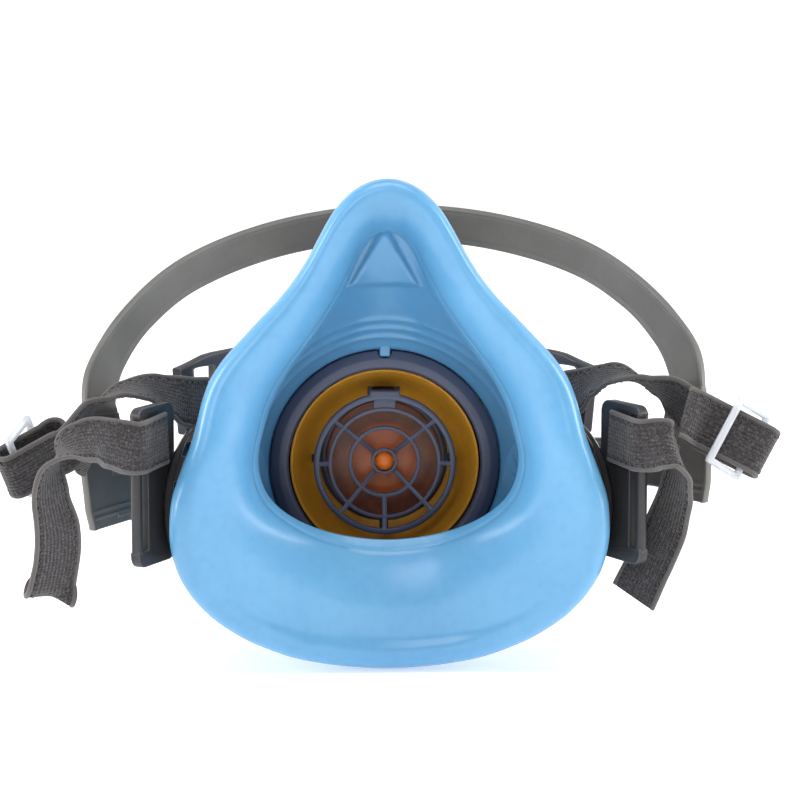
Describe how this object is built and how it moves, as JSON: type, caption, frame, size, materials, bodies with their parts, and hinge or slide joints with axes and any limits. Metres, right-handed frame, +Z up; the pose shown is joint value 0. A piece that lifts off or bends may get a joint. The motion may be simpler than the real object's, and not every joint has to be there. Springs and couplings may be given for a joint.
{
  "type": "half-mask respirator",
  "caption": "Silicone half-mask respirator with a central inlet guard and flap, side exhalation valves, front particulate filter and an elastic head harness folded forward.",
  "frame": {"origin": "on the inlet axis, in the plane of the face seal, where the wearer's face holds the mask", "axes": "+Z up towards the nose bridge, +Y forward through the filter away from the wearer, +X to the left hand of a viewer who stands in front, which is the right side seen from the wearer's side"},
  "size_m": [0.1913, 0.1238, 0.1215],
  "materials": {
    "silicone": "smooth satin silicone",
    "slate_plastic": "satin moulded plastic",
    "amber_silicone": "satin",
    "orange_silicone": "satin",
    "dark_plastic": "semi-gloss moulded plastic",
    "shell_plastic": "fine satin",
    "black_foam": "closed-cell gasket",
    "filter_media": "non-woven felt",
    "webbing": "heather knitted elastic with stitched edges",
    "cradle_plastic": "satin flexible plastic",
    "clear_plastic": "translucent white"
  },
  "bodies": {
    "mask": {"facepiece": "silicone", "clamp_ring": "slate_plastic", "front_shell": "shell_plastic", "inlet_gasket": "amber_silicone", "inlet_seat": "slate_plastic", "inlet_guard": "slate_plastic", "exhale_seat_L": "slate_plastic", "exhale_seat_R": "slate_plastic", "exhale_cover_L": "dark_plastic", "exhale_cover_R": "dark_plastic", "strap_loop_L": "dark_plastic", "strap_loop_R": "dark_plastic", "filter_base": "shell_plastic", "filter_gasket": "black_foam", "filter_pad": "filter_media", "upper_strap_L": "webbing", "upper_strap_R": "webbing"},
    "inlet_flap_body": {"inlet_flap": "orange_silicone"},
    "exhale_flap_L_body": {"exhale_flap_L": "orange_silicone"},
    "exhale_flap_R_body": {"exhale_flap_R": "orange_silicone"},
    "filter_cap_body": {"filter_cap": "shell_plastic"},
    "lower_strap_L_body": {"lower_strap_L": "webbing"},
    "lower_strap_R_body": {"lower_strap_R": "webbing"},
    "buckle_L_body": {"buckle_L": "clear_plastic"},
    "buckle_R_body": {"buckle_R": "clear_plastic"},
    "cradle": {"crown_band": "cradle_plastic", "rear_band": "cradle_plastic", "cradle_plate_L": "cradle_plastic", "cradle_plate_R": "cradle_plastic"}
  },
  "joints": [
    {"name": "inlet_flap_lift", "type": "slide", "parent": "mask", "child": "inlet_flap_body", "axis": [0, -1, 0], "range_m": [0, 0.0018], "stiffness_N_per_m": 60, "springref_m": -0.0006},
    {"name": "exhale_flap_L_lift", "type": "slide", "parent": "mask", "child": "exhale_flap_L_body", "axis": [-0.891, 0.454, 0], "range_m": [0, 0.0015], "stiffness_N_per_m": 60, "springref_m": -0.0006},
    {"name": "exhale_flap_R_lift", "type": "slide", "parent": "mask", "child": "exhale_flap_R_body", "axis": [0.891, 0.454, 0], "range_m": [0, 0.0015], "stiffness_N_per_m": 60, "springref_m": -0.0006},
    {"name": "filter_cap_turn", "type": "hinge", "parent": "mask", "child": "filter_cap_body", "pos_m": [0, 0.058, 0], "axis": [0, 1, 0], "range_deg": [0, 30]},
    {"name": "lower_strap_L_swing", "type": "hinge", "parent": "mask", "child": "lower_strap_L_body", "pos_m": [-0.06127, -0.00698, 0], "axis": [0, 0, 1], "range_deg": [-3, 22]},
    {"name": "lower_strap_R_swing", "type": "hinge", "parent": "mask", "child": "lower_strap_R_body", "pos_m": [0.06127, -0.00698, 0], "axis": [0, 0, 1], "range_deg": [-25, 2]},
    {"name": "buckle_L_slide", "type": "slide", "parent": "mask", "child": "buckle_L_body", "axis": [0.8402, 0.3301, 0.4301], "range_m": [0, 0.002]},
    {"name": "buckle_R_slide", "type": "slide", "parent": "mask", "child": "buckle_R_body", "axis": [-0.8624, 0.2808, 0.4212], "range_m": [0, 0.003]},
    {"name": "cradle_swing", "type": "hinge", "parent": "mask", "child": "cradle", "pos_m": [0.0025, 0.0162, 0.02], "axis": [0.9992, 0, 0.04], "range_deg": [-10, 30]}
  ]
}
